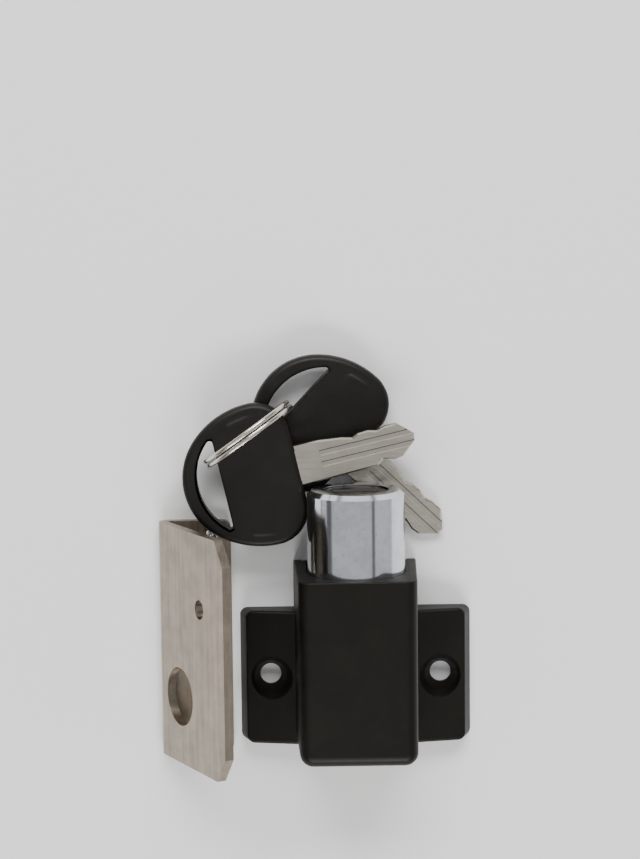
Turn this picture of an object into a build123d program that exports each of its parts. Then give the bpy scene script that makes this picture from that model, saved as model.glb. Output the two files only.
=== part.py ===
from build123d import *
import math
import os

# Push-to-lock barrel lock for a sliding patio door, with its two keys on a ring, its strike and its screws.
# All sizes are in millimetres. The lock lies on its back as it does in its pack: X runs across the two
# screw holes, Y runs along the barrel towards the key, and Z stands up from the mounting face.
# The origin is midway between the screw holes, on the mounting face.

os.makedirs("parts", exist_ok=True)

# Barrel and its run in the housing
barrel_diameter = 19.0
barrel_length = 30.0
barrel_stand = 16.2
barrel_travel = 11.0
barrel_chamfer = 0.9
barrel_clearance = 0.1
barrel_bore_diameter = 11.0
barrel_underside = 3.7

# Housing
body_length = 36.4
body_side_wall = 1.75
body_draft = 0.9
front_wall = 1.75
end_wall = 2.4
body_edge_radius = 2.3
body_corner_radius = 2.6
mouth_edge_radius = 0.35
channel_relief = 0.15
cover_ledge = 0.7

# Flanges
flange_height = 27.0
flange_width = 46.0
flange_root_thickness = 5.7
flange_end_thickness = 3.9
flange_end_draft = 1.3
flange_corner_radius = 1.5
flange_edge_radius = 0.6
hole_spacing = 34.0
hole_diameter = 4.2
seat_diameter = 8.8
seat_step_diameter = 6.5
seat_step_depth = 1.6
seat_depth = 4.0

# Back cover
cover_thickness = 2.0
cover_gap = 0.1
saddle_half_width = 6.0
saddle_length = 2.6
saddle_height = 3.1
cover_screw_from_side = 2.35
cover_screw_from_end = 5.2
cover_screw_diameter = 2.2
cover_screw_head_diameter = 4.2
cover_screw_head_height = 1.2
cover_screw_length = 5.0
screw_post_height = 3.6
screw_post_length = 5.4
screw_post_width = 5.4

# Guide screw in the cover and its slot in the barrel
guide_screw_diameter = 3.0
guide_head_diameter = 5.2
guide_head_height = 1.2
guide_slot_depth = 1.8
guide_slot_clearance = 0.1
guide_tip_clearance = 0.3
guide_from_barrel_tail = 2.5

# Bolt and its bush
bolt_diameter = 10.0
bolt_head_length = 4.0
bolt_tip_chamfer = 1.2
bolt_clearance = 0.05
bolt_pin_diameter = 2.0
bush_diameter = 12.8
bush_flange_diameter = 15.6
bush_flange_thickness = 1.0

# Return spring and its washer
spring_wire = 0.9
spring_mean_radius = 6.4
spring_turns = 6.5
washer_thickness = 0.8
washer_diameter = 16.4

# Plug
plug_clearance = 0.05
plug_head_step = 0.9
plug_head_length = 1.3
plug_recess = 0.3
keyway_side_clearance = 0.3
keyway_face_clearance = 0.35
key_mouth_chamfer = 0.35
clip_from_tail = 1.6
clip_thickness = 0.8
clip_bite = 0.8
clip_reach = 0.7
clip_gap_angle = 60.0
clip_groove_clearance = 0.1

# Wafers of the plug
wafer_count = 5
wafer_thickness = 1.0
wafer_width = 6.2
wafer_grip = 1.1
wafer_window_clearance = 0.35
wafer_from_front = 3.4
wafer_from_tail = 6.8
wafer_clearance = 0.05
wafer_tip_clearance = 0.12
wafer_spring_radius = 0.42
wafer_spring_wire = 0.22
wafer_spring_turns = 3
wafer_spring_length = 2.2
chamber_depth = 1.3

# Drive disc and locking dog
disc_side_gap = 0.3
disc_thickness = 1.5
disc_gap = 0.1
tongue_length = 6.0
tongue_width = 2.0
tongue_depth = 0.8
drive_pin_diameter = 2.6
drive_pin_gap = 0.1
dog_travel = 1.3
dog_gap = 0.55
dog_length = 2.9
dog_height = 7.0
dog_inner_reach = 3.6
dog_clearance = 0.08
dog_nose_clearance = 0.12
dog_slot_height = 4.6
dog_nose_chamfer = 0.8
pocket_depth_margin = 0.15
pocket_side_margin = 0.25
pocket_ramp = 1.6
dog_spring_wire = 0.35
dog_spring_radius = 1.05
dog_spring_turns = 5
dog_spring_wall = 1.2
dog_spring_clearance = 0.12

# Keys
blade_length = 23.5
blade_width = 8.0
blade_thickness = 2.0
blade_edge_chamfer = 0.3
tang_length = 9.0
tang_width = 6.0
tang_fit = 0.03
groove_depth = 0.4
groove_start = 4.6
groove_width = 1.15
groove_offset = 1.5
head_length = 23.5
head_half_height = 14.2
head_thickness = 3.4
head_edge_radius = 1.1
head_rim_width = 2.0
head_panel_depth = 0.25
opening_width = 5.0
opening_arc_radius = 13.2
opening_rim_width = 3.3
opening_tip_radius = 0.6

# Split ring
ring_outer_diameter = 20.4
ring_wire = 0.85
ring_pitch = 1.3
ring_turns = 2

# Where the keys and their ring lie
front_key_aside = 1.5
front_key_beyond = 4.0
front_key_underside = 6.0
front_key_turn = 13.0
rear_key_turn = -43.9
rear_key_tip_height = 0.05
rear_key_slope = 3.7
ring_turn = 35.7
ring_ends_angle = 45.0
front_ring_inset = 0.55
front_ring_side = 4.84
rear_ring_inset = 0.88
rear_ring_side = -1.18

# Strike
strike_length = 47.0
strike_width = 31.5
strike_foot_width = 15.6
strike_thickness = 1.8
strike_lean = 62.6
strike_bend_radius = 2.2
strike_clip_length = 4.9
strike_clip_width = 3.6
strike_corner_radius = 1.5
strike_bolt_hole_diameter = 11.6
strike_bolt_hole_across = 11.6
strike_bolt_hole_along = 13.4
strike_screw_hole_diameter = 3.8
strike_screw_hole_across = 21.0
strike_screw_hole_along = 32.4
strike_gap = 1.6
strike_before_key = 11.7

# Fixing screws
screw_count = 3
screw_diameter = 4.0
screw_length = 13.0
screw_head_diameter = 7.6
screw_head_height = 2.9
screw_tip_length = 2.4
screw_tip_diameter = 1.0
cross_slot_length = 3.6
cross_slot_width = 0.9
cross_slot_depth = 1.2
screw_row_aside = 11.8
screw_row_overhang = 0.6
screw_row_gap = 1.4
screw_lift = 0.25

overrun = 1.0

# Places worked out from the sizes
barrel_radius = barrel_diameter / 2
axis_height = barrel_underside + barrel_radius
channel_radius = barrel_radius + barrel_clearance
channel_half_width = channel_radius + channel_relief
cover_half_width = channel_half_width + cover_ledge
cover_screw_spacing = 2 * (channel_half_width - cover_screw_from_side)
body_front_width = 2 * (channel_radius + body_side_wall)
body_back_width = body_front_width + 2 * body_draft
body_bottom = -flange_height / 2
body_top = body_bottom + body_length
body_depth = axis_height + channel_radius + front_wall
end_wall_top = body_bottom + end_wall
barrel_front = body_top + barrel_stand
barrel_tail = barrel_front - barrel_length
guide_y = barrel_tail + guide_from_barrel_tail
spring_low_y = end_wall_top + bush_flange_thickness
spring_high_y = barrel_tail - washer_thickness
bolt_head_front = barrel_tail + bolt_head_length
dog_low_y = bolt_head_front + dog_gap
dog_high_y = dog_low_y + dog_length
disc_diameter = barrel_bore_diameter - 2 * disc_side_gap
disc_back = dog_high_y + disc_gap
disc_front = disc_back + disc_thickness
plug_radius = barrel_bore_diameter / 2 - plug_clearance
plug_head_diameter = barrel_bore_diameter + 2 * plug_head_step
plug_front = barrel_front - plug_recess
plug_tail = disc_front + plug_clearance
clip_inner_diameter = barrel_bore_diameter - 2 * clip_bite
clip_outer_diameter = barrel_bore_diameter + 2 * clip_reach
keyway_height = blade_width + keyway_side_clearance
keyway_width = blade_thickness + keyway_face_clearance
wafer_window_height = keyway_height - wafer_grip
wafer_window_width = keyway_width + wafer_window_clearance
wafer_first = plug_front - wafer_from_front
wafer_pitch = (wafer_first - plug_tail - wafer_from_tail) / (wafer_count - 1)
barrel_axis = Pos(0, 0, axis_height)

# The ring goes through the openings of both heads: the front key places it, and it places the rear key
opening_start = head_length - opening_rim_width - opening_width
opening_middle = opening_start + opening_width / 2
ring_radius = (ring_outer_diameter - ring_wire) / 2
ring_reach = Vector(ring_radius, 0).rotate(Axis.Z, ring_turn)
front_key_shoulder = Vector(-barrel_radius - front_key_aside, barrel_front + front_key_beyond)
front_crossing = Vector(front_ring_inset - opening_middle, front_ring_side).rotate(Axis.Z, front_key_turn)
ring_middle = front_key_shoulder + front_crossing + ring_reach
rear_crossing = Vector(rear_ring_inset - opening_middle, rear_ring_side).rotate(Axis.Z, rear_key_turn)
rear_key_shoulder = ring_middle + ring_reach - rear_crossing

# The strike ends before the front key's head, and its foot lies beside the flange
strike_x = -flange_width / 2 - strike_gap - strike_foot_width
strike_end_y = front_key_shoulder.Y - strike_before_key
strike_y = strike_end_y - strike_length
screw_row_x = strike_x + screw_row_aside
screw_row_y = strike_end_y - screw_length + screw_row_overhang


def along_y(face, low, high):
    """Extrude a face, drawn with X across and Z up, from one Y to a higher one."""
    return extrude(Plane.XZ.offset(-high) * face, amount=high - low)


def rod_y(radius, low, high, x=0, z=0):
    """A round rod along Y."""
    return along_y(Pos(x, z) * Circle(radius), low, high)


def block(x_low, x_high, y_low, y_high, z_low, z_high):
    """A box given by its six faces."""
    size = (x_high - x_low, y_high - y_low, z_high - z_low)
    centre = ((x_low + x_high) / 2, (y_low + y_high) / 2, (z_low + z_high) / 2)
    return Pos(*centre) * Box(*size)


def turned(profile):
    """Turn a profile of (radius, Y) points about the barrel's axis."""
    outline = Polyline(*[(radius, place, 0) for radius, place in profile], close=True)
    return barrel_axis * revolve(make_face(outline), Axis.Y)


def biarc(start, start_direction, end, end_direction):
    """Two arcs, tangent to each other, from a start to an end with the given directions."""
    span = end - start
    both = start_direction + end_direction
    spread = 1 - start_direction.dot(end_direction)
    run = span.dot(both)
    reach = (math.sqrt(run * run + 2 * spread * span.dot(span)) - run) / (2 * spread)
    first_handle = start + start_direction * reach
    last_handle = end - end_direction * reach
    middle = (first_handle + last_handle) / 2
    middle_direction = (last_handle - first_handle).normalized()
    first = TangentArc(start, middle, tangent=start_direction)
    last = TangentArc(middle, end, tangent=middle_direction)
    return [first, last]


def coil(name, radius, wire, pitch, turns):
    """A round wire wound about Z from height zero, as one tube on arcs of a quarter turn."""
    half_turns = round(2 * turns)
    rise = pitch / (2 * math.pi)

    def centre(angle):
        return Vector(radius * math.cos(angle), radius * math.sin(angle), rise * angle)

    def direction(angle):
        return Vector(-radius * math.sin(angle), radius * math.cos(angle), rise).normalized()

    arcs = []
    for step in range(half_turns):
        low, high = step * math.pi, (step + 1) * math.pi
        arcs += biarc(centre(low), direction(low), centre(high), direction(high))
    start = Plane(centre(0), x_dir=Vector(1, 0, 0), z_dir=direction(0))
    tube = sweep(start * Circle(wire / 2), path=Wire(arcs))
    samples = [centre(math.pi * step / 18) for step in range(18 * half_turns + 1)]
    gaps = [(a - b).length - wire for i, a in enumerate(samples) for b in samples[i + 19:]]
    print(name, "least gap between its turns", round(min(gaps), 3), "mm")
    return tube


def flange_block():
    """The plate behind the housing: it thins towards its ends, which are drafted."""
    end = flange_width / 2
    shoulder = end - flange_end_draft
    root = body_back_width / 2
    outline = [(-end, 0), (end, 0), (shoulder, flange_end_thickness), (root, flange_root_thickness),
               (-root, flange_root_thickness), (-shoulder, flange_end_thickness)]
    plate = along_y(make_face(Polyline(*outline, close=True)), body_bottom, -body_bottom)
    corners = plate.edges().filter_by(lambda edge: abs(edge.center().X) > shoulder
                                      and abs(edge.center().Y) > -body_bottom - overrun / 2
                                      and edge.length < flange_root_thickness)
    plate = fillet(corners, flange_corner_radius)
    crest = plate.edges().filter_by(lambda edge: edge.bounding_box().min.Z > flange_end_thickness / 2
                                    and abs(edge.center().Y) > -body_bottom - flange_corner_radius)
    return fillet(crest, flange_edge_radius)


def screw_seat():
    """The stepped, tapered seat of a flange hole, cut from above."""
    hole, step, rim = hole_diameter / 2, seat_step_diameter / 2, seat_diameter / 2
    top = flange_root_thickness - (flange_root_thickness - flange_end_thickness) / 2
    profile = [(0, -overrun), (hole, -overrun), (hole, top - seat_depth), (step, top - seat_step_depth),
               (rim, top), (rim, top + overrun), (0, top + overrun)]
    return revolve(Plane.XZ * make_face(Polyline(*profile, close=True)), Axis.Z)


def dog_pocket(low, high, ramp):
    """A pocket in the left side wall that the locking dog springs into; a ramp lets it out again."""
    bore_x = -barrel_radius + overrun
    deep_x = -barrel_radius + dog_nose_clearance - dog_travel - pocket_depth_margin
    half_height = dog_height / 2 + pocket_side_margin
    outline = [(bore_x, low - ramp), (-channel_radius, low - ramp), (deep_x, low), (deep_x, high), (bore_x, high)]
    face = make_face(Polyline(*outline, close=True))
    return extrude(Pos(0, 0, axis_height - half_height) * face, amount=2 * half_height)


def housing():
    """Die-cast housing: a drafted block on a flanged plate, with a channel for the barrel."""
    front, back = body_front_width / 2, body_back_width / 2
    section = make_face(Polyline((-back, 0), (back, 0), (front, body_depth), (-front, body_depth), close=True))
    body = along_y(section, body_bottom, body_top)
    corners = body.edges().filter_by(lambda edge: edge.center().Y < body_bottom + overrun / 2
                                     and edge.length > body_depth / 2
                                     and abs(edge.center().X) > front - overrun)
    body = fillet(corners, body_corner_radius)
    front_edges = body.faces().sort_by(Axis.Z)[-1].edges().filter_by(
        lambda edge: edge.center().Y < body_top - overrun / 2)
    body = fillet(front_edges, body_edge_radius)
    mouth_edges = body.faces().sort_by(Axis.Y)[-1].edges().filter_by(
        lambda edge: edge.center().Z > body_depth / 4)
    body = fillet(mouth_edges, mouth_edge_radius)
    shell = body + flange_block()
    channel = Pos(0, axis_height) * Circle(channel_radius)
    channel += Pos(0, (axis_height - overrun) / 2) * Rectangle(2 * channel_half_width, axis_height + overrun)
    shell -= along_y(channel, end_wall_top, body_top + overrun)
    shell -= block(-cover_half_width, cover_half_width, end_wall_top, body_top + overrun, -overrun, cover_thickness)
    post_side = cover_screw_spacing / 2 - screw_post_width / 2
    for side in (-1, 1):
        edges = sorted((side * post_side, side * cover_half_width))
        post = block(edges[0], edges[1], end_wall_top, end_wall_top + screw_post_length,
                     cover_thickness, cover_thickness + screw_post_height)
        shell += post
        pilot = Pos(side * cover_screw_spacing / 2, body_bottom + cover_screw_from_end, 0)
        shell -= pilot * Cylinder(cover_screw_diameter / 2, cover_screw_length + cover_gap,
                                  align=(Align.CENTER, Align.CENTER, Align.MIN))
        shell -= Pos(side * hole_spacing / 2, 0, 0) * screw_seat()
    shell -= rod_y(bush_diameter / 2, body_bottom - overrun, end_wall_top + overrun, 0, axis_height)
    shell -= dog_pocket(dog_low_y - pocket_side_margin, dog_high_y + pocket_side_margin, pocket_ramp)
    shell -= dog_pocket(dog_low_y - barrel_travel - pocket_side_margin,
                        dog_high_y - barrel_travel + pocket_side_margin, 0)
    return shell


def countersunk(head_diameter, head_height, diameter, length):
    """A countersunk screw standing on its head's flat, point up."""
    profile = [(0, 0), (head_diameter / 2, 0), (diameter / 2, head_height), (diameter / 2, length), (0, length)]
    return revolve(Plane.XZ * make_face(Polyline(*profile, close=True)), Axis.Z)


def back_cover():
    """The cover that closes the channel from behind, with two saddles under the barrel."""
    side = cover_half_width - cover_gap
    low, high = end_wall_top + cover_gap, body_top - cover_gap
    plate = block(-side, side, low, high, 0, cover_thickness)
    saddles = (high - saddle_length, guide_y + guide_head_diameter / 2 + cover_gap)
    for place in saddles:
        plate += block(-saddle_half_width, saddle_half_width, place, place + saddle_length, 0,
                       cover_thickness + saddle_height)
    plate -= rod_y(channel_radius, low - overrun, high + overrun, 0, axis_height)
    guide = countersunk(guide_head_diameter, guide_head_height, guide_screw_diameter, cover_thickness + overrun)
    plate -= Pos(0, guide_y, 0) * guide
    for x in (-cover_screw_spacing / 2, cover_screw_spacing / 2):
        hole = countersunk(cover_screw_head_diameter, cover_screw_head_height, cover_screw_diameter,
                           cover_thickness + overrun)
        plate -= Pos(x, body_bottom + cover_screw_from_end, 0) * hole
    return plate


def driven(screw, slot_length, slot_width, slot_depth):
    """Cut a cross slot into a screw's head, which faces down."""
    for turn in (0, 90):
        screw -= Rot(0, 0, turn) * Box(slot_length, slot_width, 2 * slot_depth)
    return screw


def cover_screws():
    """Two small countersunk screws that hold the cover's lower end."""
    screw = countersunk(cover_screw_head_diameter, cover_screw_head_height, cover_screw_diameter, cover_screw_length)
    screw = driven(screw, cover_screw_head_diameter / 2, cover_screw_diameter / 4, cover_screw_head_height / 2)
    return [Pos(x, body_bottom + cover_screw_from_end, 0) * screw
            for x in (-cover_screw_spacing / 2, cover_screw_spacing / 2)]


def guide_screw():
    """The screw whose plain tip runs in the barrel's slot: it stops the barrel turning or leaving."""
    tip = axis_height - barrel_radius + guide_slot_depth - guide_tip_clearance
    screw = countersunk(guide_head_diameter, guide_head_height, guide_screw_diameter, tip)
    screw = driven(screw, guide_head_diameter / 2, guide_screw_diameter / 4, guide_head_height / 2)
    return Pos(0, guide_y, 0) * screw


def bolt_bush():
    """Flanged bush that guides the bolt through the housing's end wall."""
    inner = bolt_diameter / 2 + bolt_clearance
    profile = [(inner, body_bottom), (bush_diameter / 2, body_bottom), (bush_diameter / 2, end_wall_top),
               (bush_flange_diameter / 2, end_wall_top), (bush_flange_diameter / 2, spring_low_y),
               (inner, spring_low_y)]
    return turned(profile)


def barrel():
    """Chromed barrel, bored through for the plug, with its slots, pockets and chamfered rim."""
    bore = barrel_bore_diameter / 2
    head = plug_head_diameter / 2 + plug_clearance
    seat = plug_front - plug_head_length - plug_clearance
    profile = [(bore, barrel_tail), (barrel_radius - barrel_chamfer / 2, barrel_tail),
               (barrel_radius, barrel_tail + barrel_chamfer / 2), (barrel_radius, barrel_front - barrel_chamfer),
               (barrel_radius - barrel_chamfer, barrel_front), (head, barrel_front), (head, seat), (bore, seat)]
    tube = turned(profile)
    clip_low = plug_tail + clip_from_tail - clip_groove_clearance
    clip_high = plug_tail + clip_from_tail + clip_thickness + clip_groove_clearance
    tube -= rod_y(clip_outer_diameter / 2 + clip_groove_clearance, clip_low, clip_high, 0, axis_height)
    last = wafer_first - wafer_pitch * (wafer_count - 1)
    chamber = wafer_width / 2 + wafer_clearance
    reach = barrel_bore_diameter / 2 + chamber_depth
    tube -= block(-chamber, chamber, last - wafer_thickness, wafer_first + wafer_thickness,
                  axis_height - reach, axis_height + reach)
    half_height = dog_height / 2 + dog_clearance
    tube -= block(-barrel_radius - overrun, 0, dog_low_y - dog_clearance, dog_high_y + dog_clearance,
                  axis_height - half_height, axis_height + half_height)
    pocket = Pos(0, (dog_low_y + dog_high_y) / 2, axis_height) * Rot(0, 90, 0)
    tube -= pocket * Cylinder(dog_spring_radius + dog_spring_wire / 2 + dog_spring_clearance,
                              barrel_radius - dog_spring_wall, align=(Align.CENTER, Align.CENTER, Align.MIN))
    slot_half = guide_screw_diameter / 2 + guide_slot_clearance
    slot_floor = axis_height - barrel_radius + guide_slot_depth
    slot = SlotCenterToCenter(barrel_travel, 2 * slot_half, rotation=90)
    tube -= extrude(Pos(0, guide_y + barrel_travel / 2, 0) * slot, amount=slot_floor)
    pin = Pos(0, barrel_tail + bolt_head_length / 2, axis_height) * Rot(0, 90, 0)
    tube -= pin * Cylinder(bolt_pin_diameter / 2, barrel_diameter + overrun)
    return tube


def keyway_cut(low, high):
    """The slot for the key's blade, lying across X when the plug is turned to unlock."""
    return block(-keyway_height / 2, keyway_height / 2, low, high,
                 axis_height - keyway_width / 2, axis_height + keyway_width / 2)


def wafer_places():
    """The Y of each wafer's middle, from the front of the plug to its tail."""
    return [wafer_first - wafer_pitch * index for index in range(wafer_count)]


def wafer_spring_offset():
    """How far a wafer's spring lies from the plug's axis, in a notch of the wafer's side."""
    return wafer_width / 2 - wafer_spring_radius - wafer_spring_wire


def plug():
    """The plug that the key turns, with its keyway, wafer slots, clip groove and tail slot."""
    head = plug_head_diameter / 2
    body = turned([(0, plug_tail), (plug_radius, plug_tail), (plug_radius, plug_front - plug_head_length),
                   (head, plug_front - plug_head_length), (head, plug_front - key_mouth_chamfer),
                   (head - key_mouth_chamfer, plug_front), (0, plug_front)])
    body -= keyway_cut(plug_tail - overrun, plug_front + overrun)
    mouth = Pos(0, plug_front, axis_height) * Rot(-90, 0, 0)
    wide = (keyway_height + 2 * key_mouth_chamfer, keyway_width + 2 * key_mouth_chamfer)
    body -= mouth * loft([Rectangle(*wide), Pos(0, 0, -key_mouth_chamfer) * Rectangle(keyway_height, keyway_width)])
    half_thick = wafer_thickness / 2 + wafer_clearance
    half_wide = wafer_width / 2 + wafer_clearance
    for y in wafer_places():
        body -= block(-barrel_radius, barrel_radius, y - half_thick, y + half_thick,
                      axis_height - half_wide, axis_height + half_wide)
    groove = clip_inner_diameter / 2 - clip_groove_clearance
    low = plug_tail + clip_from_tail - clip_groove_clearance
    high = plug_tail + clip_from_tail + clip_thickness + clip_groove_clearance
    body -= rod_y(barrel_radius, low, high, 0, axis_height) - rod_y(groove, low, high, 0, axis_height)
    half_tongue = tongue_width / 2 + plug_clearance
    body -= block(-half_tongue, half_tongue, plug_tail - overrun, plug_tail + tongue_depth,
                  axis_height - barrel_radius, axis_height + barrel_radius)
    return body


def plug_wafers():
    """Flat wafers with a window for the blade, each with rounded ends that follow the plug."""
    disc = Circle(plug_radius - wafer_tip_clearance) & Rectangle(barrel_diameter, wafer_width)
    shape = disc - Rectangle(wafer_window_height, wafer_window_width)
    notch_height = 2 * (wafer_spring_radius + wafer_spring_wire)
    notch = Rectangle(wafer_spring_length + notch_height, notch_height)
    shape -= Pos(0, wafer_spring_offset()) * notch
    return [barrel_axis * along_y(shape, y - wafer_thickness / 2, y + wafer_thickness / 2)
            for y in wafer_places()]


def wafer_springs():
    """A small spring for each wafer, lying in the notch beside its window."""
    pitch = wafer_spring_length / wafer_spring_turns
    spring = coil("wafer spring", wafer_spring_radius, wafer_spring_wire, pitch, wafer_spring_turns)
    return [Pos(-wafer_spring_length / 2, y, axis_height + wafer_spring_offset()) * Rot(0, 90, 0) * spring
            for y in wafer_places()]


def plug_clip():
    """Open ring that keeps the plug in the barrel."""
    low = plug_tail + clip_from_tail
    ring = rod_y(clip_outer_diameter / 2, low, low + clip_thickness, 0, axis_height)
    ring -= rod_y(clip_inner_diameter / 2, low, low + clip_thickness, 0, axis_height)
    half = math.radians(clip_gap_angle / 2)
    side = clip_outer_diameter * math.sin(half)
    drop = clip_outer_diameter * math.cos(half)
    wedge = make_face(Polyline((0, axis_height), (side, axis_height - drop), (-side, axis_height - drop), close=True))
    return ring - along_y(wedge, low, low + clip_thickness)


def plug_disc():
    """Disc keyed to the plug's tail by a tongue, with an off-centre pin that works the dog."""
    disc = rod_y(disc_diameter / 2, disc_back, disc_front, 0, axis_height)
    disc += block(-tongue_width / 2, tongue_width / 2, disc_front, disc_front + tongue_depth,
                  axis_height - tongue_length / 2, axis_height + tongue_length / 2)
    offset = dog_travel / 2
    disc += rod_y(drive_pin_diameter / 2, dog_low_y, disc_back, offset, axis_height - offset)
    return disc


def locking_dog():
    """Slider across the barrel: its rounded nose drops into the housing and its window holds the pin."""
    half_height = dog_height / 2
    nose = barrel_radius - dog_nose_clearance
    body = block(-nose, dog_inner_reach, dog_low_y, dog_high_y, axis_height - half_height, axis_height + half_height)
    body &= rod_y(nose, dog_low_y, dog_high_y, 0, axis_height)
    reach = drive_pin_diameter / 2 + dog_travel / 2 + drive_pin_gap
    body -= block(-reach, reach, dog_low_y - overrun, dog_high_y + overrun,
                  axis_height - dog_slot_height / 2, axis_height + dog_slot_height / 2)
    slope = make_face(Polyline((-barrel_radius, dog_low_y), (-nose + dog_nose_chamfer, dog_low_y),
                               (-barrel_radius, dog_low_y + dog_nose_chamfer + dog_nose_clearance), close=True))
    return body - extrude(Pos(0, 0, axis_height - half_height) * slope, amount=dog_height)


def dog_spring():
    """The spring that pushes the dog outwards, standing in a pocket of the barrel."""
    end_x = barrel_radius - dog_spring_wall - dog_spring_wire / 2
    start_x = dog_inner_reach + dog_spring_wire / 2
    pitch = (end_x - start_x) / dog_spring_turns
    spring = coil("dog spring", dog_spring_radius, dog_spring_wire, pitch, dog_spring_turns)
    return Pos(start_x, (dog_low_y + dog_high_y) / 2, axis_height) * Rot(0, 90, 0) * spring


def bolt():
    """The round bolt, with a wider head that is pinned in the barrel's tail."""
    head = barrel_bore_diameter / 2
    shank = bolt_diameter / 2
    body = turned([(0, body_bottom), (shank - bolt_tip_chamfer, body_bottom), (shank, body_bottom + bolt_tip_chamfer),
                   (shank, barrel_tail), (head, barrel_tail), (head, bolt_head_front), (0, bolt_head_front)])
    pin = Pos(0, barrel_tail + bolt_head_length / 2, axis_height) * Rot(0, 90, 0)
    return body - pin * Cylinder(bolt_pin_diameter / 2, barrel_diameter + overrun)


def bolt_pin():
    """Cross pin through the barrel and the bolt's head."""
    length = barrel_diameter - 2 * barrel_chamfer
    place = Pos(0, barrel_tail + bolt_head_length / 2, axis_height) * Rot(0, 90, 0)
    return place * Cylinder(bolt_pin_diameter / 2, length)


def return_spring():
    """The spring around the bolt that drives the barrel out again."""
    pitch = (spring_high_y - spring_low_y - spring_wire) / spring_turns
    spring = coil("return spring", spring_mean_radius, spring_wire, pitch, spring_turns)
    return Pos(0, spring_low_y + spring_wire / 2, axis_height) * Rot(-90, 0, 0) * spring


def spring_washer():
    """Washer between the spring and the barrel's tail."""
    ring = rod_y(washer_diameter / 2, spring_high_y, barrel_tail, 0, axis_height)
    return ring - rod_y(bolt_diameter / 2 + barrel_clearance, spring_high_y, barrel_tail, 0, axis_height)


# The blade's outline as shares of its length and of half its width, from the shoulder round by the tip
blade_shares = [(0, 1), (0.21, 1), (0.40, 0.86), (0.49, 0.73), (0.54, 0.87), (0.63, 0.9), (0.7, 0.79),
                (0.77, 0.9), (0.87, 0.91), (1, 0.22), (0.99, -0.1), (0.87, -0.74), (0.8, -0.79),
                (0.7, -0.65), (0.65, -0.9), (0, -1)]

# The head's outline as shares of its length and half height: the flat side by the blade, then round
head_side_share = 0.58
head_shoulder_shares = (-0.264, 1.0)
head_waist_shares = (-0.689, 0.775)


def key_blade():
    """Double-sided key blade along X from its shoulder, with a tang and milled grooves."""
    half_width, half_thick = blade_width / 2, blade_thickness / 2
    outline = [(x * blade_length, y * half_width) for x, y in blade_shares]
    face = make_face(Polyline(*outline, close=True))
    blade = extrude(Pos(0, 0, -half_thick) * face, amount=blade_thickness)
    rims = blade.edges().filter_by(lambda edge: abs(edge.center().Z) > half_thick / 2
                                   and edge.center().X > blade_length / 4)
    blade = chamfer(rims, blade_edge_chamfer)
    blade += block(-tang_length, 0, -tang_width / 2, tang_width / 2, -half_thick, half_thick)
    for side in (-1, 1):
        for offset in (-groove_offset / 2, groove_offset):
            y = side * offset
            cut = block(groove_start, blade_length + overrun, y - groove_width / 2, y + groove_width / 2,
                        half_thick - groove_depth, half_thick + overrun)
            blade -= cut if side > 0 else Rot(180, 0, 0) * cut
    return blade


def head_outline():
    """The head's flat outline: a straight side at the blade, then arcs tangent to each other round the end."""
    side = head_side_share * head_half_height
    shoulder = (head_shoulder_shares[0] * head_length, head_shoulder_shares[1] * head_half_height)
    waist = (head_waist_shares[0] * head_length, head_waist_shares[1] * head_half_height)
    end = TangentArc((-head_length, 0), waist, tangent=(0, 1))
    top = TangentArc(waist, shoulder, tangent=end % 1)
    corner = TangentArc(shoulder, (0, side), tangent=top % 1)
    upper = [end, top, corner]
    lower = [mirror(edge, Plane.XZ) for edge in upper]
    return make_face([Line((0, -side), (0, side)), *upper, *lower])


def head_opening():
    """The crescent opening at the far end, which takes the ring."""
    centre = -head_length + opening_rim_width + opening_arc_radius
    crescent = Pos(centre, 0) * Circle(opening_arc_radius)
    crescent &= Pos(-opening_start - head_length / 2, 0) * Rectangle(head_length, 2 * head_half_height)
    return fillet(crescent.vertices(), opening_tip_radius)


def key_head():
    """Moulded head of a key, round-edged, with a raised rim round its two faces."""
    half_thick = head_thickness / 2
    face = head_outline()
    body = extrude(Pos(0, 0, -half_thick) * face, amount=head_thickness)
    body = fillet(body.edges().filter_by(lambda edge: abs(edge.center().Z) > half_thick / 2), head_edge_radius)
    body -= extrude(Pos(0, 0, -head_thickness) * head_opening(), amount=2 * head_thickness)
    panel = offset(face, -head_rim_width) & Pos(-opening_start / 2 + opening_rim_width / 2, 0) * Rectangle(
        opening_start - opening_rim_width, 2 * head_half_height)
    for side in (-1, 1):
        low = half_thick - head_panel_depth
        cut = extrude(Pos(0, 0, low) * panel, amount=head_thickness)
        body -= cut if side > 0 else Rot(180, 0, 0) * cut
    return body - block(-tang_length - tang_fit, overrun, -tang_width / 2 - tang_fit, tang_width / 2 + tang_fit,
                        -blade_thickness / 2 - tang_fit, blade_thickness / 2 + tang_fit)


def front_key_place():
    """Where the front key's shoulder lies, over the rear key."""
    height = front_key_underside + head_thickness / 2
    return Pos(front_key_shoulder.X, front_key_shoulder.Y, height) * Rot(0, 0, front_key_turn)


def rear_key_place():
    """Where the rear key's shoulder lies: its tip is on the surface and its head rides on the ring."""
    slope = math.radians(rear_key_slope)
    height = rear_key_tip_height + blade_length * math.sin(slope) + blade_thickness / 2 * math.cos(slope)
    return Pos(rear_key_shoulder.X, rear_key_shoulder.Y, height) * Rot(0, 0, rear_key_turn) * Rot(0, rear_key_slope, 0)


def key_ring():
    """Split ring of two turns, standing on edge through both heads."""
    ring = coil("key ring", ring_radius, ring_wire, ring_pitch, ring_turns)
    centred = Pos(0, 0, -ring_pitch * ring_turns / 2) * ring
    lift = ring_outer_diameter / 2 + ring_wire / 8
    return Pos(ring_middle.X, ring_middle.Y, lift) * Rot(0, 0, ring_turn) * Rot(90, 0, 0) * Rot(0, 0, ring_ends_angle) * centred


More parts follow.
